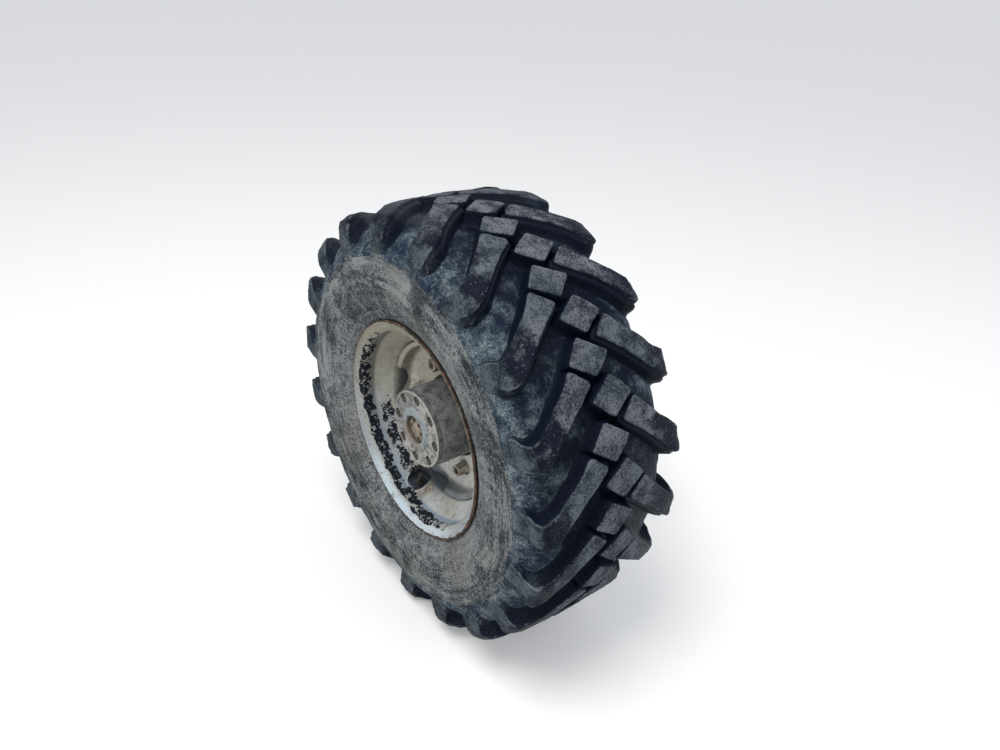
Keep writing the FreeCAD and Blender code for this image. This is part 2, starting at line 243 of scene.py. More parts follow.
# Dust on the tyre by the distance down its profile: on the lugs' tops, then between the lugs
TOP_DUST = [(0, 0.90), (95, 0.86), (118, 0.58), (138, 0.24), (182, 0.15), (198, 0.50), (215, 0.74),
            (282, 0.85), (440, 0.85)]
LOW_DUST = [(0, 0.16), (110, 0.34), (150, 0.60), (200, 0.80), (282, 0.88), (440, 0.88)]


def make_rubber():
    p = Paint("tyre_rubber")
    top, reach = p.attribute("top"), p.attribute("reach")
    broad, patch = p.noise(8, 3), p.noise(26, 4, 0.62)
    speck, grain = p.noise(170, 4, 0.7), p.noise(600, 2, 0.6)
    arcs = p.noise(1, 6, 0.75, p.drawn_round(3.6, 60))
    rays = p.noise(1, 5, 0.7, p.drawn_round(40, 12))
    on_top = p.fade(top, 0.86, 0.995)
    sidewall = p.fade(reach, 262, 296)
    # How far dust hides the black rubber, from the place on the tyre and from patches
    dust = p.lerp(on_top, p.curve(reach, LOW_DUST), p.curve(reach, TOP_DUST))
    dust = p.add(dust, p.swing(patch, p.lerp(on_top, 0.9, 1.7)), p.swing(broad, p.lerp(on_top, 0.9, 1.4)))
    dust = p.add(dust, p.swing(speck, 0.6))
    # Painted shade: the lugs' walls lose most of their dust and stay near black
    wall_shade = p.times(p.band(top, 0.02, 0.12, 0.80, 0.97), p.fade(reach, 290, 225))
    dust = p.math("SUBTRACT", p.fade(dust, 0.20, 0.88), p.times(wall_shade, 0.9))
    scuffs = p.times(p.fade(rays, 0.55, 0.68), p.band(reach, 185, 225, 260, 320), 0.8)
    dust = p.math("MAXIMUM", p.math("MAXIMUM", dust, scuffs), 0.0)
    # Ground colours, each with its own light and dark speckle
    fine = p.noise(300, 4, 0.8)
    small = p.add(p.times(speck, 0.45), p.times(fine, 0.55))
    speckle = p.fade(p.add(small, p.swing(patch, 0.4)), 0.42, 0.60)
    foot = p.math("MAXIMUM", p.fade(reach, 165, 205), p.fade(p.noise(4, 2), 0.46, 0.58, 0.0, 0.7))
    tops = p.mix(speckle, p.mix(foot, (0.036, 0.038, 0.050), (0.024, 0.033, 0.042)),
                 p.mix(foot, (0.158, 0.161, 0.192), (0.098, 0.122, 0.137)))
    mottle = p.add(small, p.swing(patch, 0.7), p.swing(arcs, 0.5), p.swing(rays, 0.3))
    low = p.mix(p.fade(mottle, 0.36, 0.66), (0.015, 0.027, 0.050), (0.102, 0.134, 0.158))
    flecks = p.fade(p.add(fine, p.swing(rays, 0.3), p.swing(patch, 0.5), p.swing(arcs, 0.4)), 0.56, 0.66)
    low = p.mix(p.times(flecks, p.fade(reach, 120, 220, 0.25, 0.85)), low, (0.30, 0.335, 0.345))
    # Painted highlight: a light line along the lugs' top edges on the shoulder, in patches
    lug_edge_highlight = p.times(p.band(top, 0.88, 0.94, 0.985, 0.998), p.band(reach, 172, 190, 225, 250))
    lug_edge_highlight = p.times(lug_edge_highlight, p.fade(patch, 0.40, 0.56))
    warp = p.step("ShaderNodeTexNoise", (("Vector", p.point), ("Scale", 60), ("Detail", 3))).outputs[1]
    bent = p.step("ShaderNodeVectorMath", ((0, warp), (1, (0.02, 0.02, 0.02)), (2, p.point)),
                  operation="MULTIPLY_ADD").outputs[0]
    cracks = p.times(p.fade(p.cell_edges(bent, 72), 0.10, 0.01), p.fade(p.noise(15, 3), 0.40, 0.56))
    crossed = p.add(p.times(rays, 0.35), p.times(arcs, 0.35), p.times(speck, 0.3))
    strokes = p.lerp(p.fade(reach, 345, 395), arcs, crossed)
    grooves = p.add(p.times(strokes, 0.55), p.times(fine, 0.55), p.swing(broad, 0.2))
    side = p.mix(p.fade(grooves, 0.49, 0.62), (0.034, 0.044, 0.055), (0.345, 0.365, 0.368))
    old_cracks = p.times(p.fade(p.cell_edges(bent, 37), 0.05, 0.01), p.fade(patch, 0.42, 0.52), 0.7)
    side = p.mix(old_cracks, side, (0.022, 0.028, 0.034))
    side = p.mix(p.fade(p.noise(5, 3), 0.50, 0.64, 0.0, 0.3), side, (0.20, 0.195, 0.165))
    smears = p.times(p.fade(p.noise(11, 4, 0.65), 0.50, 0.60), p.band(reach, 285, 305, 355, 400), 0.75)
    side = p.mix(smears, side, (0.024, 0.030, 0.038))
    side = p.mix(p.times(cracks, 0.6), side, (0.36, 0.37, 0.35))
    colour = p.mix(sidewall, p.mix(on_top, low, tops), side)
    black = p.mix(p.fade(fine, 0.4, 0.7), (0.001, 0.003, 0.009), (0.007, 0.012, 0.026))
    colour = p.mix(p.math("MAXIMUM", dust, p.times(sidewall, 0.9)), black, colour)
    glints = p.times(p.fade(p.noise(210, 5, 0.85), 0.60, 0.66), on_top, p.band(reach, 95, 125, 170, 185))
    colour = p.mix(p.times(glints, 0.9), colour, (0.34, 0.37, 0.41))
    # Painted highlight on the lugs' edges
    colour = p.mix(p.times(lug_edge_highlight, 0.5), colour, (0.17, 0.18, 0.175))
    height = p.add(p.times(patch, 4.0), p.times(speck, 2.4), p.times(grain, 0.5), p.times(scuffs, 1.0),
                   p.times(grooves, sidewall, 6.0))
    p.shader.inputs["Specular IOR Level"].default_value = 0.08
    return p.done(colour, p.lerp(p.math("MAXIMUM", dust, sidewall), 0.45, 0.90), height)


def make_rim_paint():
    p = Paint("rim_cream")
    radius, out_mm = p.wheel_space()
    sine = p.sine
    broad, ragged, fine = p.noise(9, 3), p.noise(52, 6, 0.72), p.noise(330, 3, 0.6)
    left = p.facing(222)
    wander = p.swing(p.noise(26, 3), 26.0)
    lower_left = p.fade(p.facing(230), 0.6, 1.0, 0.0, 9.0)
    flange_ring = p.times(p.band(p.add(out_mm, wander, lower_left), 130, 150, 170, 180),
                          p.band(radius, 240, 245, 257, 263), p.fade(out_mm, 177, 171),
                          p.fade(left, -0.95, 0.70))
    slope_patch = p.times(p.band(radius, 206, 217, 234, 247),
                          p.band(p.add(out_mm, wander), 91, 103, 126, 140),
                          p.fade(p.facing(217), 0.80, 0.91))
    chance = p.math("MAXIMUM", flange_ring, p.times(slope_patch, 0.90))
    ragged_edge = p.add(p.times(ragged, 0.68), p.times(p.noise(135, 6, 0.75), 0.42), p.times(chance, 0.25))
    bare = p.fade(ragged_edge, 0.750, 0.760)
    bare_edge = p.fade(ragged_edge, 0.713, 0.750)
    lip = p.times(p.fade(radius, 269, 276), p.fade(out_mm, 165, 172))
    low_right = p.fade(p.facing(326), 0.55, 0.95)
    rust_edge = p.add(p.noise(75, 5, 0.7), p.times(lip, 0.36),
                      p.times(low_right, p.fade(radius, 258, 272), 0.16))
    rust = p.fade(rust_edge, 0.70, 0.76)
    spots = p.add(p.noise(150, 3, 0.6), p.fade(out_mm, 140, 150, 0.0, 0.03))
    spots = p.times(p.fade(spots, 0.655, 0.70), 0.85)
    crease = p.band(radius, 186, 192, 204, 212)
    dirt = p.fade(p.add(p.noise(30, 5, 0.65), p.times(crease, 0.14), p.times(broad, 0.2)), 0.64, 0.84)
    # Cream paint with painted light: darker and warmer at the top as painted shade, lighter and bluer at the
    # bottom
    shaded_cream = p.mix(p.fade(sine, 0.8, -0.8), (0.275, 0.255, 0.19), (0.44, 0.46, 0.445))
    cream = p.mix(p.fade(broad, 0.40, 0.60), shaded_cream, p.mix(0.6, shaded_cream, (0.27, 0.255, 0.20)))
    # Painted light: the disc's face inside the cup is lighter and warmer than the rim, lightest at the
    # bottom
    lit_disc_face = p.times(p.fade(radius, 194, 184), p.fade(out_mm, 66, 56))
    cream = p.mix(lit_disc_face, cream, p.mix(p.fade(sine, 0.7, -0.6), (0.56, 0.53, 0.43), (0.74, 0.735, 0.68)))
    grime = p.fade(p.add(p.times(ragged, 0.6), p.times(p.noise(115, 5, 0.75), 0.5)), 0.53, 0.68)
    cream = p.mix(p.times(grime, 0.45), cream, (0.16, 0.145, 0.115))
    # Painted light: the flange's lower half turns bluish, lightest at the bottom
    bottom = p.fade(p.facing(266), 0.60, 0.92)
    flange = p.times(p.fade(radius, 246, 262), p.fade(sine, 0.6, -0.5), p.fade(broad, 0.3, 0.6, 0.6, 0.9))
    cream = p.mix(flange, cream, p.mix(bottom, (0.27, 0.30, 0.32), (0.50, 0.60, 0.67)))
    blue_shade = p.times(p.band(radius, 216, 232, 246, 252), p.fade(p.facing(226), 0.72, 0.95))
    cream = p.mix(p.times(blue_shade, 0.6), cream, (0.19, 0.225, 0.28))
    # Painted shade on the seat: olive grey towards the top and blue-grey lower down
    seat = p.times(p.fade(radius, 236, 246), p.band(out_mm, 128, 136, 150, 164))
    cream = p.mix(p.times(seat, 0.85), cream,
                  p.mix(p.fade(sine, 0.15, -0.6), (0.13, 0.135, 0.115), (0.16, 0.22, 0.30)))
    # Painted shadow: soft blue-grey along the disc's edge where it meets the well, in the lower half
    cream = p.mix(p.times(crease, p.fade(sine, 0.2, -0.4), 0.9), cream, (0.165, 0.20, 0.22))
    cream = p.mix(p.times(dirt, 0.75), cream, (0.15, 0.125, 0.09))
    # Painted shade on the well behind the disc: dark grey, bluer at the hand hole beside the pocket, and
    # weaker further inboard
    near_notch = p.fade(p.facing(262), 0.94, 0.975)
    behind = p.times(p.fade(p.add(out_mm, p.times(near_notch, -15)), 95, 70), p.fade(radius, 199, 204),
                     p.fade(out_mm, -70, 20, 0.45, 1.0))
    cream = p.mix(p.times(behind, p.fade(broad, 0.2, 0.6, 1.0, 0.8)), cream,
                  p.mix(near_notch, (0.052, 0.058, 0.065), (0.082, 0.112, 0.140)))
    slope_radius = p.add(p.times(out_mm, 1.03), WELL - 98)
    beside = p.times(radius, p.facing(POCKET_ANGLE + 90))
    below = p.add(out_mm, POCKET_OFFSET)
    apart = p.math("SQRT", p.add(p.times(beside, beside), p.times(below, below)))
    # Painted shade inside the valve's pocket, darkest at its floor
    pocket = p.times(p.fade(p.math("SUBTRACT", radius, slope_radius), 1.0, 7.0), p.fade(apart, 33.5, 31.8))
    towards_pocket = p.facing(POCKET_ANGLE)
    pocket = p.times(pocket, p.fade(out_mm, 60, 62), p.fade(towards_pocket, 0.9, 0.91))
    cream = p.mix(pocket, cream,
                  p.mix(p.fade(radius, 212, 236), (0.125, 0.125, 0.118), (0.022, 0.030, 0.042)))
    by_pocket = p.fade(towards_pocket, 0.9, 0.95)
    stain = p.times(p.band(apart, 30, 38, 46, 66), p.fade(beside, -20, 20), p.fade(ragged, 0.40, 0.56),
                    by_pocket)
    cream = p.mix(p.times(stain, p.fade(out_mm, 84, 98), 0.75), cream, (0.14, 0.095, 0.055))
    lit_lip = p.times(p.band(apart, 30.8, 31.2, 32.2, 33.6), p.fade(below, 2, 16), by_pocket)
    cream = p.mix(p.times(lit_lip, 0.7), cream, (0.56, 0.56, 0.52))
    # The cup's edge at the upper left gets a painted highlight along its end and painted shade inside
    upper_left = p.fade(p.facing(132), 0.84, 0.94)
    inside = p.times(p.band(radius, 182, 187, 191, 193), p.band(out_mm, 60, 70, 86, 90), upper_left)
    cream = p.mix(p.times(inside, 0.55), cream, (0.13, 0.115, 0.085))
    cup_edge = p.times(p.band(out_mm, 87, 90, 95, 97), p.band(radius, 190, 192, 201, 204), upper_left)
    cream = p.mix(p.times(cup_edge, 0.65), cream, (0.52, 0.49, 0.41))
    old_dirt = p.times(p.fade(radius, 263, 272), p.fade(sine, -0.6, 0.2), p.fade(broad, 0.3, 0.5, 0.3, 0.8))
    cream = p.mix(old_dirt, cream, (0.165, 0.15, 0.11))
    cream = p.mix(spots, cream, (0.10, 0.055, 0.032))
    cream = p.mix(p.times(bare_edge, 0.6), cream, (0.56, 0.57, 0.55))
    colour = p.mix(bare, cream, p.mix(fine, (0.004, 0.005, 0.009), (0.018, 0.022, 0.030)))
    p.feed(p.shader.inputs["Specular IOR Level"], p.lerp(bare, 0.4, 0.06))
    brown = p.mix(p.fade(p.noise(60, 4, 0.7), 0.42, 0.70), (0.024, 0.018, 0.015), (0.14, 0.075, 0.042))
    colour = p.mix(rust, colour, brown)
    height = p.add(p.times(bare, -0.35), p.times(p.noise(160, 4), 0.25), p.times(rust, fine, 0.8))
    roughness = p.math("MAXIMUM", p.lerp(bare, 0.5, 0.62), p.times(rust, 0.9))
    return p.done(colour, roughness, height)


def make_iron(name, dark, dusty, stain, amount, grit=0.5):
    """Dusty casting: a dark ground, dust in patches and darker stains."""
    p = Paint(name)
    patch, speck, broad = p.noise(42, 5, 0.65), p.noise(260, 3, 0.65), p.noise(12, 3)
    dust = p.fade(p.add(amount, p.swing(patch, 1.7), p.swing(speck, 1.0), p.swing(broad, 0.8)), 0.2, 0.8)
    stains = p.fade(p.noise(28, 4, 0.6, distortion=0.6), 0.56, 0.68)
    colour = p.mix(p.times(stains, 0.7), p.mix(dust, dark, dusty), stain)
    height = p.add(p.times(patch, 0.5), p.times(speck, grit))
    return p.done(colour, p.lerp(dust, 0.6, 0.93), height)


def make_cover_iron():
    p = Paint("cover_cream")
    radius, out_mm = p.wheel_space()
    patch, speck = p.noise(60, 5, 0.65), p.noise(300, 3, 0.65)
    clean_edge = p.times(p.fade(radius, 90, 97), -0.3)
    dirt = p.fade(p.add(p.swing(patch, 2.6), p.swing(speck, 1.5), 0.46, clean_edge), 0.15, 0.9)
    ground = p.mix(dirt, (0.36, 0.36, 0.335), (0.095, 0.088, 0.078))
    # Painted shade: the face is darker towards the upper left
    ground = p.mix(p.fade(p.facing(150), 0.1, 1.0, 0.0, 0.55), ground, (0.080, 0.088, 0.092))
    ring = p.band(radius, 35, 38, 55, 58)
    # Painted highlight: the ring is light blue-grey on its upper right side, and brownish dirt on its lower
    # left
    bright = p.fade(p.facing(65), -0.62, -0.15)
    blue = p.mix(p.fade(patch, 0.50, 0.66), (0.245, 0.280, 0.300), (0.13, 0.14, 0.15))
    blue = p.mix(bright, p.mix(patch, (0.15, 0.13, 0.10), (0.25, 0.235, 0.20)), blue)
    colour = p.mix(p.times(ring, 0.9), ground, blue)
    inner = p.fade(radius, 38, 35)
    colour = p.mix(inner, colour, p.mix(speck, (0.05, 0.036, 0.026), (0.17, 0.13, 0.095)))
    # Painted highlight along the cover's outer edge, in patches
    edge = p.times(p.band(radius, 94, 96, 98, 99), p.fade(out_mm, 154, 157))
    colour = p.mix(p.times(edge, 0.5, p.fade(patch, 0.3, 0.6)), colour, (0.38, 0.37, 0.32))
    # Painted shade in the bolts' wells below the face
    sunk = p.fade(out_mm, -COVER_FACE - 0.6, -COVER_FACE - 3.0)
    well = p.times(sunk, p.band(radius, 60, 64, 96, 97))
    colour = p.mix(p.times(well, 0.9), colour, (0.040, 0.034, 0.028))
    # Painted shade: the cover's side, below its face, takes the drum's dark colours
    rim_side = p.times(sunk, p.fade(radius, 97, 98.2))
    colour = p.mix(rim_side, colour,
                   p.mix(p.fade(patch, 0.4, 0.6), (0.060, 0.065, 0.068), (0.150, 0.155, 0.150)))
    return p.done(colour, p.lerp(dirt, 0.6, 0.9), p.add(p.times(patch, 0.7), p.times(speck, 0.4)))


def make_rusty_steel(name, bright, brown, amount, patches=140):
    p = Paint(name)
    patch, speck = p.noise(patches, 4, 0.65), p.noise(620, 3, 0.6)
    rust = p.fade(p.add(amount, p.swing(patch, 2.2), p.swing(speck, 1.1)), 0.2, 0.8)
    colour = p.mix(rust, bright, p.mix(speck, brown, tuple(value * 0.4 for value in brown)))
    return p.done(colour, p.lerp(rust, 0.42, 0.9), p.add(p.times(patch, 0.35), p.times(speck, 0.3)))


def make_floor():
    """Pale floor, a little brighter where the camera or a reflection sees it."""
    p = Paint("floor_pale")
    glow = p.times(p.seen_by("Is Camera Ray", "Is Glossy Ray"), 0.16)
    for key, value in (("Base Color", (0.86, 0.86, 0.855)), ("Roughness", 0.95),
                       ("Emission Color", (1, 1, 1)), ("Emission Strength", glow)):
        p.feed(p.shader.inputs[key], value)
    return p.material


FLOOR = -0.5400               # metres; just below the lowest lug
FLOOR_SIZE = 60
bpy.ops.mesh.primitive_plane_add(size=FLOOR_SIZE, location=(0, 0, FLOOR))
floor = bpy.context.object
floor.name = "floor"
floor.data.materials.append(make_floor())


def make_world():
    """Soft even sky, which the camera and reflections see as a pale backdrop."""
    scene.world = bpy.data.worlds.new("world")
    scene.world.use_nodes = True
    sky = Steps(scene.world.node_tree)
    seen = sky.seen_by("Is Camera Ray", "Is Glossy Ray", "Is Transmission Ray")
    strength = sky.step("ShaderNodeMapRange", (("Value", seen), ("To Min", 0.62), ("To Max", 0.96)))
    background = sky.tree.nodes["Background"].inputs
    sky.feed(background["Color"], (0.93, 0.955, 1.0))
    sky.feed(background["Strength"], strength.outputs[0])


make_world()


def add_lamp(name, spot, target, size, power, colour):
    data = bpy.data.lights.new(name, "AREA")
    data.size = size
    data.energy = power
    data.color = colour
    lamp = bpy.data.objects.new(name, data)
    lamp.location = spot
    lamp.rotation_euler = (Vector(target) - Vector(spot)).to_track_quat("-Z", "Y").to_euler()
    scene.collection.objects.link(lamp)


add_lamp("key", (0.4, -2.2, 4.2), (0, -0.4, 0), 2.4, 150, (1.0, 0.98, 0.95))
add_lamp("fill", (3.4, 1.4, 2.6), (0, -0.4, 0), 3.0, 40, (0.92, 0.96, 1.0))


# Meshes


def new_piece(name, verts, faces, body, material, attributes=None):
    """Mesh object from points in the frame, riding on a body. Attributes are one value a point."""
    mesh = bpy.data.meshes.new(name)
    mesh.from_pydata(verts, [], faces)
    for key, values in (attributes or {}).items():
        layer = mesh.attributes.new(key, "FLOAT", "POINT")
        layer.data.foreach_set("value", values)
    mesh.polygons.foreach_set("use_smooth", [True] * len(mesh.polygons))
    mesh.materials.append(material)
    piece = bpy.data.objects.new(name, mesh)
    scene.collection.objects.link(piece)
    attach(piece, body)
    return piece


def grid_faces(rows, columns, first=0, closed_rows=False, closed_columns=False, flip=False):
    """Quads over rows of points. Closed rows or columns run on from the last one to the first."""
    faces = []
    for row in range(rows if closed_rows else rows - 1):
        after = (row + 1) % rows
        for column in range(columns if closed_columns else columns - 1):
            beside = (column + 1) % columns
            quad = (first + row * columns + column, first + after * columns + column,
                    first + after * columns + beside, first + row * columns + beside)
            faces.append(quad[::-1] if flip else quad)
    return faces


# Tyre

LUGS = 19
PITCH = 360.0 / LUGS
TREAD_RADIUS = 539.0
DEGREE = math.radians(1) * TREAD_RADIUS     # millimetres along the tread in a degree
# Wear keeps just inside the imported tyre's radius, its height above and below the axle, and its side
TREAD_LIMIT = 539.4
TREAD_HEIGHT_LIMIT = 538.5
TREAD_SIDE_LIMIT = 205.0
CARCASS_SIDES = 480
SIDEWALL_RADIUS = 437.0       # the lugs' feet end here and the sidewall starts

# Distance down the profile from the crown, then the lugs' top (radius, offset) and the carcass
PROFILE = [
    (0, 539.0, 0, 503.5, 0),
    (60, 538.6, 60, 503.5, 60),
    (100, 537.2, 100, 503.0, 97),
    (130, 535.2, 130, 500.5, 124),
    (160, 532.0, 160, 494.0, 147),
    (178, 528.5, 178, 486.5, 162),
    (190, 523.5, 188.5, 480.0, 170.5),
    (200, 516.5, 194.5, 475.0, 176),
    (212, 505.5, 198.3, 469.0, 181.5),
    (230, 487.5, 200.5, 461.5, 188),
    (250, 467.5, 202.0, 454.0, 194.5),
    (265, 453.0, 202.4, 448.5, 199),
    (282, 436.5, 202.4, 437.5, 202.0),
]


def tread_point(distance, depth):
    """Radius and offset at a depth share between the lug tops (0) and the carcass (1). A positive
    distance runs to the outer side."""
    top_radius, top_offset, base_radius, base_offset = along(PROFILE, abs(distance))
    side = -1 if distance > 0 else 1
    return lerp(top_radius, base_radius, depth), side * lerp(top_offset, base_offset, depth)


# Wall of a lug: distance out from the edge of its top, and depth in millimetres at full height
PLAIN_WALL = [(-60, 0.0), (-6, 0.0), (-3, 0.25), (-1, 1.1), (0, 2.6), (1.2, 7), (3.4, 20), (5.5, 27),
              (9, 32.5), (14, 35.5), (21, 37.0)]
STEPPED_WALL = [(-60, 0.0), (-6, 0.0), (-3, 0.25), (-1, 1.1), (0, 2.6), (1.0, 8.5), (2.6, 10.6), (7.2, 11.6),
                (9, 14.5), (11.5, 27), (14, 32.5), (18, 35.5), (25, 37.0)]
FULL_HEIGHT = 35.5


def rounded_corner(a, b, radius):
    """Distance inside two edges that meet at a corner of a given radius."""
    if a < radius and b < radius:
        return radius - math.hypot(radius - a, radius - b)
    return min(a, b)


def wall_depth(inside, stepped):
    plain_depth, stepped_depth = along(PLAIN_WALL, -inside)[0], along(STEPPED_WALL, -inside)[0]
    return lerp(plain_depth, stepped_depth, stepped)


# Distances from a lug's edge at which its points stand: out over its wall, then in over its top
OUTSIDE = [-25, -18, -13, -9.5, -7, -4.5, -2.6, -1.2, 0]
INSIDE = [1.2, 3, 6, 11]

# Both lugs' outlines are measured at the lug whose crown block stands at 59.6 degrees
# Shoulder lug: distance down the profile and angle of its leading edge, then of its trailing one
SHOULDER_LUG = [
    (72, 58.3, 26, 53.9),
    (99, 54.8, 60, 51.15),
    (131, 51.7, 100, 47.65),
    (160, 48.4, 135, 44.1),
    (180, 46.6, 164, 40.9),
    (196, 46.1, 188, 39.7),
    (212, 46.5, 208, 39.6),
    (235, 47.5, 232, 40.5),
    (260, 47.6, 260, 41.6),
    (282, 46.6, 282, 42.4),
]
# Crown block: corners as distance across to the outer side, and angle
CROWN_BLOCK = [(-41, 59.6), (24, 64.4), (67, 59.1), (8, 54.8)]
SHOULDER_CORNER = 9.0
CROWN_CORNER = 7.0
MIDDLE_SPANS = 5              # equal spans across the middle of a lug
FIRST_ROW_LENGTH = 37.0       # from the first row of SHOULDER_LUG to the second
ROWS_DOWN = 20                # rows from the crown end's corner to the lug's foot
PAST_END = 40.0               # far enough from the crown end for its wall not to count


def cross_columns(width):
    """Distances across a lug, denser at its edges."""
    middle = [lerp(INSIDE[-1], width - INSIDE[-1], k / MIDDLE_SPANS) for k in range(1, MIDDLE_SPANS)]
    near = OUTSIDE + INSIDE
    return near + middle + [width - x for x in reversed(near)]


def shoulder_rows():
    """Rows down the lug: (distance inside its crown end, place along SHOULDER_LUG's rows)."""
    rows = [(x, 0.0) for x in OUTSIDE]
    rows += [(x, x / FIRST_ROW_LENGTH) for x in INSIDE]
    start = INSIDE[-1] / FIRST_ROW_LENGTH
    for step in range(1, ROWS_DOWN + 1):
        rows.append((PAST_END + step, lerp(start, len(SHOULDER_LUG) - 1, step / ROWS_DOWN)))
    return rows


def on_table(table, place_on):
    index = min(int(place_on), len(table) - 2)
    share = place_on - index
    return [lerp(a, b, share) for a, b in zip(table[index], table[index + 1])]


def wear(point, seed, reach):
    """Dents and swellings of worn rubber in millimetres, out, across and round the tyre. They
    grow down the shoulder, where the lugs are torn most."""
    spot = Vector(point) * 26 + Vector((seed, 0, 0))
    coarse = noise.noise_vector(spot * 0.9)
    fine = noise.noise_vector(spot * 3.3)
    torn = 1.0 + 1.7 * smooth(120, 190, reach)
    return (coarse * 1.7 + fine * 0.8) * torn


def add_lug_point(shape, tops, reach, distance, degrees, depth_mm):
    share = depth_mm / FULL_HEIGHT
    shape.append((*tread_point(distance, share), degrees))
    tops.append(max(0.0, 1 - share))
    reach.append(abs(distance))


def shoulder_lug():
    """Points of one lug as (radius, offset, degrees), their shares of its height, their distances
    down the profile, and the counts of rows and columns."""
    shape, tops, reach = [], [], []
    first, second = SHOULDER_LUG[:2]
    down = Vector(((second[1] + second[3] - first[1] - first[3]) * DEGREE,
                   second[0] + second[2] - first[0] - first[2])).normalized()
    rows = shoulder_rows()
    for inside_end, place_on in rows:
        lead_d, lead_a, trail_d, trail_a = on_table(SHOULDER_LUG, place_on)
        across = Vector(((trail_a - lead_a) * DEGREE, trail_d - lead_d))
        width = across.length
        across /= width
        beyond = min(0.0, inside_end)
        columns = cross_columns(width)
        for x in columns:
            spot = Vector((lead_a * DEGREE, lead_d)) + across * x + down * beyond
            inside = rounded_corner(min(x, width - x), inside_end, SHOULDER_CORNER)
            stepped = smooth(0.3 * width, 0.8 * width, x)
            depth = wall_depth(inside, stepped)
            add_lug_point(shape, tops, reach, spot.y, spot.x / DEGREE, depth)
    return shape, tops, reach, len(rows), len(columns)


def crown_lug():
    """One crown block, in the same form as the shoulder lug."""
    shape, tops, reach = [], [], []
    corners = [Vector((angle * DEGREE, distance)) for distance, angle in CROWN_BLOCK]
    long_side = ((corners[1] - corners[0]).length + (corners[2] - corners[3]).length) / 2
    short_side = ((corners[3] - corners[0]).length + (corners[2] - corners[1]).length) / 2
    rows, columns = cross_columns(long_side), cross_columns(short_side)
    for x in rows:
        for y in columns:
            start = lerp(corners[0], corners[1], x / long_side)
            spot = lerp(start, lerp(corners[3], corners[2], x / long_side), y / short_side)
            inside = rounded_corner(min(x, long_side - x), min(y, short_side - y), CROWN_CORNER)
            add_lug_point(shape, tops, reach, spot.y, spot.x / DEGREE, wall_depth(inside, 0))
    return shape, tops, reach, len(rows), len(columns)


def add_lugs(name, lug, rubber):
    """All copies of a lug on both sides; the inner side's are mirrored, half a pitch on."""
    shape, tops, reach, rows, columns = lug
    for side, label in ((1, "outer"), (-1, "inner")):
        verts, faces, all_tops, all_reach = [], [], [], []
        for step in range(LUGS):
            seed = random.random()
            turn = step * PITCH + (0 if side > 0 else PITCH / 2)
            first = len(verts)
            for (radius, offset, degrees), top, distance in zip(shape, tops, reach):
                point = place(radius, side * offset, degrees + turn)
                out, across, round_mm = wear(point, seed * 50, distance) * min(1.0, top * 2)
                radius += min(out, TREAD_LIMIT - radius)
                across = min(across, TREAD_SIDE_LIMIT - abs(offset))
                offset += across if offset > 0 else -across
                point = place(radius, side * offset, degrees + turn + round_mm / DEGREE)
                point.z = min(TREAD_HEIGHT_LIMIT * MM, max(-TREAD_HEIGHT_LIMIT * MM, point.z))
                verts.append(point)
            faces += grid_faces(rows, columns, first, flip=side < 0)
            all_tops += tops
            all_reach += reach
        values = {"top": all_tops, "reach": all_reach}
        piece = new_piece(f"tyre_{name}_{label}", verts, faces, "wheel", rubber, values)
        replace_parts(piece, "tyre")


# Radius and offset down the outer sidewall, from the lugs' feet to the bead
SIDEWALL = [
    (436.5, 202.0), (431, 202.3), (429.5, 203.6), (426.5, 204.0), (424, 203.0), (421.5, 203.6),
    (419.5, 202.6), (412, 202.6), (396, 202.7), (380, 202.4), (362, 200.9), (346, 198.4),
    (331, 194.6), (318, 189.9), (308, 185.3), (303, 183.2), (300.5, 183.9), (297.5, 183.7),
    (295.5, 181.4), (288, 177.6), (280, 173.2), (273, 168.8), (268, 165.6), (262, 165.1), (257.4, 164.0),
]


def add_carcass(rubber):
    half = []
    for low, high in zip(PROFILE[:-1], PROFILE[1:]):
        steps = max(1, round((high[0] - low[0]) / 6))
        half += [(lerp(low[3], high[3], k / steps), lerp(low[4], high[4], k / steps)) for k in range(steps)]
    half += SIDEWALL
    outline = [(r, -o) for r, o in reversed(half)] + half[1:]
    outline = spaced(outline, 7, False)
    verts, reach = [], []
    for step in range(CARCASS_SIDES):
        degrees = step * 360.0 / CARCASS_SIDES
        for radius, offset in outline:
            point = place(radius, offset, degrees)
            lumps = noise.noise(point * 17) + 0.5 * noise.noise(point * 48)
            shoulder = smooth(500, 486, radius) * smooth(405, 440, radius)
            radius += 4.5 * shoulder * max(-0.2, lumps + 0.3)
            verts.append(place(radius, offset, degrees))
            below_lugs = SIDEWALL_RADIUS - radius
            reach.append(abs(offset) if below_lugs < 0 else PROFILE[-1][0] + below_lugs)
    faces = grid_faces(CARCASS_SIDES, len(outline), closed_rows=True)
    values = {"top": [0.0] * len(verts), "reach": reach}
    piece = new_piece("tyre_carcass", verts, faces, "wheel", rubber, values)
    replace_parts(piece, "tyre")


# Turned pieces


def filleted(outline, closed=True):
    """Outline with its corners rounded. A point is (radius, offset, fillet radius)."""
    points = []
    count = len(outline)
    for index, (radius, offset, fillet) in enumerate(outline):
        here = Vector((radius, offset))
        if fillet <= 0 or (not closed and index in (0, count - 1)):
            points.append((radius, offset))
            continue
        back = (Vector(outline[index - 1][:2]) - here).normalized()
        ahead = (Vector(outline[(index + 1) % count][:2]) - here).normalized()
        half = back.angle(ahead) / 2
        reach = fillet / math.tan(half)
        centre = here + (back + ahead).normalized() * (fillet / math.sin(half))
        start, end = here + back * reach - centre, here + ahead * reach - centre
        sweep = start.angle(end)
        steps = max(2, math.ceil(math.degrees(sweep) / 15))
        for step in range(steps + 1):
            share = step / steps
            spoke = (start * math.sin((1 - share) * sweep) + end * math.sin(share * sweep)) / math.sin(sweep)
            points.append(tuple(centre + spoke))
    return points


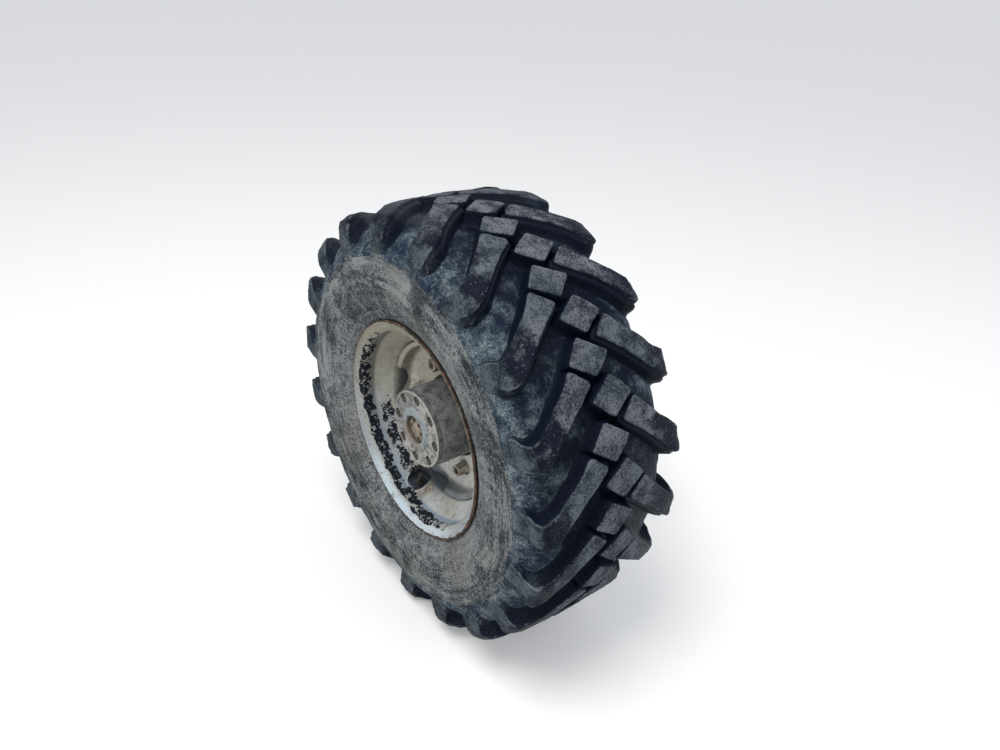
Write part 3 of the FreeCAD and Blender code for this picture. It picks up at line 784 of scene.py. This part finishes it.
def spaced(points, gap, closed=True):
    """Outline with no stretch longer than a gap, so that its surface can be shaped and shaded."""
    dense = []
    ends = points[1:] + (points[:1] if closed else [])
    for start, end in zip(points, ends):
        steps = max(1, math.ceil(math.dist(start, end) / gap))
        dense += [tuple(lerp(a, b, k / steps) for a, b in zip(start, end)) for k in range(steps)]
    return dense if closed else dense + [points[-1]]


def turned_mesh(outline, sides, spot=place):
    """Points and faces of an outline turned round an axis. It is closed, or starts and ends on it."""
    on_axis = outline[0][0] == 0 and outline[-1][0] == 0
    ring = outline[1:-1] if on_axis else outline
    count = len(ring)
    verts = [spot(radius, offset, 360.0 * step / sides) for step in range(sides) for radius, offset in ring]
    faces = grid_faces(sides, count, closed_rows=True, closed_columns=not on_axis)
    if on_axis:
        first, last = len(verts), len(verts) + 1
        verts += [spot(0, outline[0][1], 0), spot(0, outline[-1][1], 0)]
        for step in range(sides):
            after = (step + 1) % sides
            faces.append((first, after * count, step * count))
            faces.append((last, step * count + count - 1, after * count + count - 1))
    return verts, faces


def outward(mesh, weld=False):
    """Turns all faces outwards, after joining points that meet if asked."""
    shape = bmesh.new()
    shape.from_mesh(mesh)
    if weld:
        bmesh.ops.remove_doubles(shape, verts=shape.verts, dist=WELD_REACH)
        bmesh.ops.dissolve_degenerate(shape, edges=shape.edges, dist=WELD_REACH / 2)
    bmesh.ops.recalc_face_normals(shape, faces=shape.faces)
    shape.to_mesh(mesh)
    shape.free()


SHARP_EDGE = math.radians(32)


def finish_edges(piece, weld=False):
    outward(piece.data, weld)
    piece.data.set_sharp_from_angle(angle=SHARP_EDGE)


def turned(name, outline, sides, body, material, gap, closed=True):
    verts, faces = turned_mesh(spaced(filleted(outline, closed), gap, closed), sides)
    piece = new_piece(name, verts, faces, body, material)
    finish_edges(piece)
    return piece


def cutter_object(name, verts, faces):
    mesh = bpy.data.meshes.new(name)
    mesh.from_pydata(verts, [], faces)
    outward(mesh)
    cutter = bpy.data.objects.new(name, mesh)
    scene.collection.objects.link(cutter)
    return cutter


def combine(piece, cutter, operation):
    """Boolean of a piece with a helper object, which is then removed."""
    modifier = piece.modifiers.new("combine", "BOOLEAN")
    modifier.object = cutter
    modifier.operation = operation
    modifier.solver = "EXACT"
    bpy.context.view_layer.update()
    result = bpy.data.meshes.new_from_object(piece.evaluated_get(bpy.context.evaluated_depsgraph_get()))
    piece.modifiers.clear()
    piece.data = result
    bpy.data.objects.remove(cutter)


def frame_at(circle, degrees, offset):
    """Place function for a small round thing along the axle, centred on a circle round it."""
    centre = place(circle, offset, degrees)

    def spot(radius, rise, turn):
        swing = math.radians(turn + degrees)
        return centre + Vector((radius * math.cos(swing), -rise, radius * math.sin(swing))) * MM
    return spot


def frames_round(count, circle, degrees, offset):
    """Place functions for small round things, evenly round the axle."""
    return [frame_at(circle, degrees + step * 360 / count, offset) for step in range(count)]


def spoke_frame(degrees, offset):
    """Place function for a small round thing that points away from the axle."""
    def spot(radius, rise, turn):
        swing = math.radians(turn)
        tip = place(rise, offset + radius * math.cos(swing), degrees)
        side = Vector((-math.sin(math.radians(degrees)), 0, math.cos(math.radians(degrees))))
        return tip + side * radius * math.sin(swing) * MM
    return spot


# Rim barrel

RIM_EDGE = 165.1
WELL = 205.0
SEAT = 248.0
RIM_WALL = 9.0
POCKET_ANGLE = 252.5
POCKET_OFFSET = -107.0
POCKET_RADIUS = 31.0
POCKET_FLOOR = 246.0
POCKET_SIDES = 72
RIM_SIDES = 300

# Section of the rim's outer half: radius, offset and fillet radius
HALF_RIM = [
    (WELL + RIM_WALL, -95.1, 8), (SEAT + RIM_WALL, -135.1, 8), (SEAT + RIM_WALL, -RIM_EDGE, 1.5),
    (267.5, -RIM_EDGE, 6), (277.6, -174.8, 3.4), (278.2, -180.0, 2.4), (271.5, -180.2, 2.6),
    (256.0, -171.0, 14), (SEAT, -163.5, 5), (SEAT - 1.2, -134.5, 7), (WELL + 2.5, -96.0, 9),
    (WELL, -82.0, 12),
]


def make_rim(paint):
    mirrored = [(radius, -offset, fillet) for radius, offset, fillet in HALF_RIM[::-1]]
    rim = turned("rim_shell", HALF_RIM + mirrored, RIM_SIDES, "wheel", paint, gap=9)
    cup_top = POCKET_FLOOR + 6.5
    cup_foot = SEAT + 2
    spot = spoke_frame(POCKET_ANGLE, POCKET_OFFSET)
    cup = turned_mesh([(0, cup_foot - 34), (POCKET_RADIUS + 1, cup_foot - 34),
                       (POCKET_RADIUS + 6, cup_foot - 4), (POCKET_RADIUS + 6, cup_top),
                       (0, cup_top)], POCKET_SIDES, spot)
    hollow = turned_mesh([(0, 190), (POCKET_RADIUS, 190), (POCKET_RADIUS, POCKET_FLOOR - 3),
                          (POCKET_RADIUS - 3, POCKET_FLOOR), (0, POCKET_FLOOR)], POCKET_SIDES, spot)
    # The cup ends inside the rim's wall, so that its mouth is flush with the slope
    open_space = [(0, -175), (SEAT + 0.8, -175), (SEAT + 0.8, -136.5), (WELL + 3.2, -96),
                  (WELL + 0.9, -80), (WELL + 0.9, -40), (0, -40)]
    cup_piece = cutter_object("cup", *cup)
    combine(cup_piece, cutter_object("open_space", *turned_mesh(open_space, RIM_SIDES)), "DIFFERENCE")
    combine(rim, cup_piece, "UNION")
    combine(rim, cutter_object("hollow", *hollow), "DIFFERENCE")
    finish_edges(rim)
    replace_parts(rim, "rim_barrel")


# Disc: each line round it ends at the cup's edge or at a hand hole

DISC_BORE = 106.0
DISC_FRONT = -49.0
DISC_THICK = 12.0
CUP_EDGE = -95.0
HOLE_RADIUS = 48.0
HOLE_OFFSET = -105.0
HOLE_PHASE = 175.0
DISC_SIDES = 540
CUP_START = 160.0             # only beyond this radius does an opening cut the disc

# Section of the disc from its bore to the rim: radius, offset and fillet radius
FRONT_LINE = [
    (DISC_BORE, DISC_FRONT + 1.5, 0), (DISC_BORE + 1.5, DISC_FRONT, 0), (172, DISC_FRONT, 5),
    (185.5, -54.0, 12), (190.5, -67, 16), (192.5, -89.5, 2.5), (197.5, -93.6, 3), (202.5, -93.2, 3),
    (WELL + 0.3, -98.0, 0),
]
BACK_LINE = [
    (DISC_BORE, DISC_FRONT + DISC_THICK, 0), (184, DISC_FRONT + DISC_THICK, 14),
    (WELL - 0.5, -62, 6), (WELL - 0.3, -97.0, 0),
]


def round_limit(beside, middle, radius):
    """Offset at which a round opening cuts the disc, beside its middle, or None outside it."""
    return middle + math.sqrt(radius ** 2 - beside ** 2) if abs(beside) < radius else None


def hole_limit(radius, degrees):
    """Offset at which a hand hole or the valve's pocket cuts the disc, or None beside them."""
    near_hole = math.radians((degrees - HOLE_PHASE + 45) % 90 - 45)
    near_pocket = math.radians(min(45, max(-45, degrees - POCKET_ANGLE)))
    limits = [round_limit(radius * math.sin(near_hole), HOLE_OFFSET, HOLE_RADIUS),
              round_limit(radius * math.sin(near_pocket), POCKET_OFFSET, POCKET_RADIUS + 4)]
    found = [limit for limit in limits if limit is not None]
    return max(found) if found else None


def clipped(points, degrees):
    """Points of an outline moved back to a hand hole's or the pocket's edge where they lie beyond."""
    kept = []
    edge = None
    for radius, offset in points:
        limit = hole_limit(radius, degrees)
        if edge is None and limit is not None and offset < limit and radius > CUP_START:
            previous = kept[-1] if kept else (radius, offset)
            span = previous[1] - offset
            share = (previous[1] - limit) / span if span > 0 else 1.0
            edge = (lerp(previous[0], radius, min(1.0, max(0.0, share))), limit)
        kept.append(edge or (radius, offset))
    return kept


def make_disc(paint):
    front = spaced(filleted(FRONT_LINE, False), 3, False)
    back = spaced(filleted(BACK_LINE, False), 3, False)
    verts = []
    for step in range(DISC_SIDES):
        degrees = step * 360.0 / DISC_SIDES
        outline = clipped(front, degrees) + clipped(back, degrees)[::-1]
        verts += [place(radius, offset, degrees) for radius, offset in outline]
    faces = grid_faces(DISC_SIDES, len(front) + len(back), closed_rows=True, closed_columns=True)
    disc = new_piece("wheel_disc", verts, faces, "wheel", paint)
    finish_edges(disc, weld=True)
    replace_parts(disc, "rim_disc")


# Nuts and studs

STUDS = 6
STUD_CIRCLE = 137.5
STUD_PHASE = 114.3
NUT_FLATS = 30.0
NUT_SIDES = 72
NUT_TWIST = 17.0              # degrees that each nut is turned past the one before it
STUD_SEAT = -15.0             # the studs' heads lie behind the disc from this offset on
SMALL_SIDES = 40              # sides of a stud, a bolt's head or its well

# Radius and rise of the stud's end beyond the disc's front, and of its head beyond its seat
STUD_END = [(0, 1), (9.5, 1), (9.5, 21.5), (8.2, 23), (3.2, 23), (2.4, 21), (0, 21)]
STUD_HEAD = [(0, 0), (14.5, 0), (14.5, -6), (12.5, -7), (0, -7)]


def nut_mesh(spot, twist):
    """Flanged nut standing on its seat: rises in millimetres from the disc's front."""
    half = NUT_FLATS / 2
    verts = []
    for step in range(NUT_SIDES):
        turn = 360.0 * step / NUT_SIDES
        corner = half / math.cos(math.radians((turn - twist) % 60 - 30))
        bevel = (corner - half) * 0.55
        rings = [(19.8, 0), (19.8, 4.2), (19.0, 5.2), (17.6, 6.6), (corner, 8.0),
                 (corner, 28.0 - bevel), (half * 0.93, 29.0), (10.4, 29.0), (9.6, 28.2), (9.6, 20.0)]
        verts += [spot(radius, rise, turn) for radius, rise in rings]
    count = len(rings)
    faces = grid_faces(NUT_SIDES, count, closed_rows=True)
    faces.append([step * count for step in range(NUT_SIDES)])
    faces.append([step * count + count - 1 for step in reversed(range(NUT_SIDES))])
    return verts, faces


def gathered(name, meshes, body, material):
    """One piece from several meshes."""
    verts, faces = [], []
    for points, parts in meshes:
        first = len(verts)
        verts += points
        faces += [[first + k for k in face] for face in parts]
    piece = new_piece(name, verts, faces, body, material)
    finish_edges(piece)
    return piece


def make_nuts(steel, stud_steel):
    fronts = frames_round(STUDS, STUD_CIRCLE, STUD_PHASE, DISC_FRONT)
    seats = frames_round(STUDS, STUD_CIRCLE, STUD_PHASE, STUD_SEAT)
    nuts = [nut_mesh(spot, NUT_TWIST * step) for step, spot in enumerate(fronts)]
    ends = [turned_mesh(STUD_END, SMALL_SIDES, spot) for spot in fronts]
    heads = [turned_mesh(STUD_HEAD, SMALL_SIDES, spot) for spot in seats]
    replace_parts(gathered("nuts", nuts, "wheel", steel), "wheel_nuts")
    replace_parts(gathered("stud_ends", ends + heads, "wheel", stud_steel), "wheel_studs")


# Drum and its end cover

DRUM_RADIUS = 100.0
COVER_FACE = -158.7
COVER_BACK = -142.7
COVER_RADIUS = 98.5
BOLTS = 8
BOLT_CIRCLE = 82.0
BOLT_PHASE = -3.0
DRUM_SIDES = 240
DRUM_BACK = -37.0
PLATE_SIDES = 120
BOLT_SIDES = 36
SCREW_SIDES = 24
PLATE_SCREWS = 6
PLATE_SCREW_CIRCLE = 22.0
PLATE_SCREW_SEAT = COVER_FACE + 1.6

# Radius and rise from the cover's face, of a bolt's well and of its head with a socket
BOLT_WELL = [(0, 4), (13.6, 4), (12.6, -1.2), (11.8, -9.9), (0, -9.9)]
BOLT_HEAD = [(0, -9.8), (8.6, -9.8), (8.6, -3.4), (7.8, -2.6), (4.2, -2.6), (3.9, -5.6), (0, -5.8)]
PLATE_SCREW = [(0, -2), (4.4, -2), (4.4, 3.0), (3.4, 4.2), (0, 4.6)]


def make_hub_front(iron, cover_iron, steel, cap_paint):
    outline = [(0, COVER_BACK, 0), (DRUM_RADIUS, COVER_BACK, 2), (DRUM_RADIUS, DRUM_BACK, 0),
               (0, DRUM_BACK, 0)]
    drum = turned("drum", outline, DRUM_SIDES, "wheel", iron, gap=8, closed=False)
    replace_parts(drum, "hub_drum")
    face = COVER_FACE
    outline = [
        (0, face + 8, 0), (35.5, face + 8, 3), (35.5, face - 4.6, 2), (50, face - 5.4, 3),
        (57, face + 0.4, 3), (70, face, 0), (COVER_RADIUS, face, 2.6), (COVER_RADIUS, COVER_BACK, 0),
        (0, COVER_BACK, 0),
    ]
    cover = turned("end_cover", outline, DRUM_SIDES, "wheel", cover_iron, gap=6, closed=False)
    spots = frames_round(BOLTS, BOLT_CIRCLE, BOLT_PHASE, face)
    heads = [turned_mesh(BOLT_HEAD, BOLT_SIDES, spot) for spot in spots]
    for spot in spots:
        well = turned_mesh(BOLT_WELL, SMALL_SIDES, spot)
        combine(cover, cutter_object("well", *well), "DIFFERENCE")
    finish_edges(cover)
    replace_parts(cover, "hub_end_cover")
    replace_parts(gathered("cover_screws", heads, "wheel", steel), "end_cover_bolts")
    outline = [(0, face - 1.5, 0), (12, face - 0.6, 6), (24, face + 2.2, 4), (32, face + 4.6, 1.5),
               (32.5, face + 8, 0), (0, face + 8, 0)]
    cap = turned("centre_plate", outline, PLATE_SIDES, "wheel", cap_paint, gap=2.5, closed=False)
    for vertex in cap.data.vertices:
        lumps = noise.noise(vertex.co * 95) * 2.6 + noise.noise(vertex.co * 240) * 1.1
        vertex.co.y -= max(0.0, lumps) * MM
    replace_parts(cap, "hub_centre_cap")
    spots = frames_round(PLATE_SCREWS, PLATE_SCREW_CIRCLE, STUD_PHASE, PLATE_SCREW_SEAT)
    screws = [turned_mesh(PLATE_SCREW, SCREW_SIDES, spot) for spot in spots]
    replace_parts(gathered("plate_screws", screws, "wheel", steel), "centre_cap_screws")


rubber = make_rubber()
add_carcass(rubber)
add_lugs("shoulder_lugs", shoulder_lug(), rubber)
add_lugs("crown_blocks", crown_lug(), rubber)
cream = make_rim_paint()
drum_iron = make_iron("drum_iron", (0.050, 0.056, 0.062), (0.215, 0.225, 0.222), (0.025, 0.022, 0.02), 0.54)
nut_steel = make_rusty_steel("nut_steel", (0.42, 0.395, 0.32), (0.14, 0.078, 0.042), 0.48, 45)
bolt_steel = make_rusty_steel("bolt_steel", (0.13, 0.12, 0.10), (0.075, 0.05, 0.034), 0.6)
stud_steel = make_rusty_steel("stud_steel", (0.06, 0.05, 0.04), (0.03, 0.02, 0.014), 0.6)
plate_iron = make_iron("plate_iron", (0.12, 0.09, 0.065), (0.33, 0.275, 0.215), (0.05, 0.035, 0.025),
                       0.55, 0.8)
make_rim(cream)
make_disc(cream)
make_nuts(nut_steel, stud_steel)
make_hub_front(drum_iron, make_cover_iron(), bolt_steel, plate_iron)

# Solids that stay

axle_paint = make_iron("axle_paint", (0.045, 0.062, 0.080), (0.175, 0.172, 0.150), (0.075, 0.045, 0.028),
                       0.46)
hub_iron = make_iron("hub_iron", (0.055, 0.052, 0.050), (0.17, 0.16, 0.135), (0.07, 0.042, 0.027), 0.5)
machined = make_rusty_steel("machined_face", (0.36, 0.37, 0.38), (0.17, 0.11, 0.07), 0.34)
brass = make_rusty_steel("dull_brass", (0.42, 0.33, 0.17), (0.17, 0.12, 0.07), 0.45)
grimy_brass = make_rusty_steel("grimy_brass", (0.085, 0.080, 0.062), (0.045, 0.040, 0.034), 0.7)
# Each solid's finish and the width of its rounded edges in millimetres
KEPT_SOLIDS = {
    "tyre_valve": (grimy_brass, 0.3), "hub_body": (hub_iron, 1.5), "spindle": (machined, 0.8),
    "brake_housing": (axle_paint, 2.5), "brake_port": (machined, 0.4), "bleed_screw": (brass, 0.3),
    "housing_bolts": (bolt_steel, 0.9), "axle_arm": (axle_paint, 2.5),
}


def soften(node, width_mm):
    """Rounds a solid's edges over its joined facets."""
    weld = node.modifiers.new("weld", "WELD")
    weld.merge_threshold = WELD_REACH
    flat = node.modifiers.new("flat", "DECIMATE")
    flat.decimate_type = "DISSOLVE"
    flat.angle_limit = math.radians(0.8)
    bevel = node.modifiers.new("bevel", "BEVEL")
    bevel.width = width_mm * MM
    bevel.segments = 3
    bevel.limit_method = "ANGLE"
    bevel.angle_limit = math.radians(28)
    bevel.harden_normals = True


for name, (finish, width_mm) in KEPT_SOLIDS.items():
    nodes[name].data.materials.clear()
    nodes[name].data.materials.append(finish)
    soften(nodes[name], width_mm)

scene.view_settings.view_transform = "Standard"
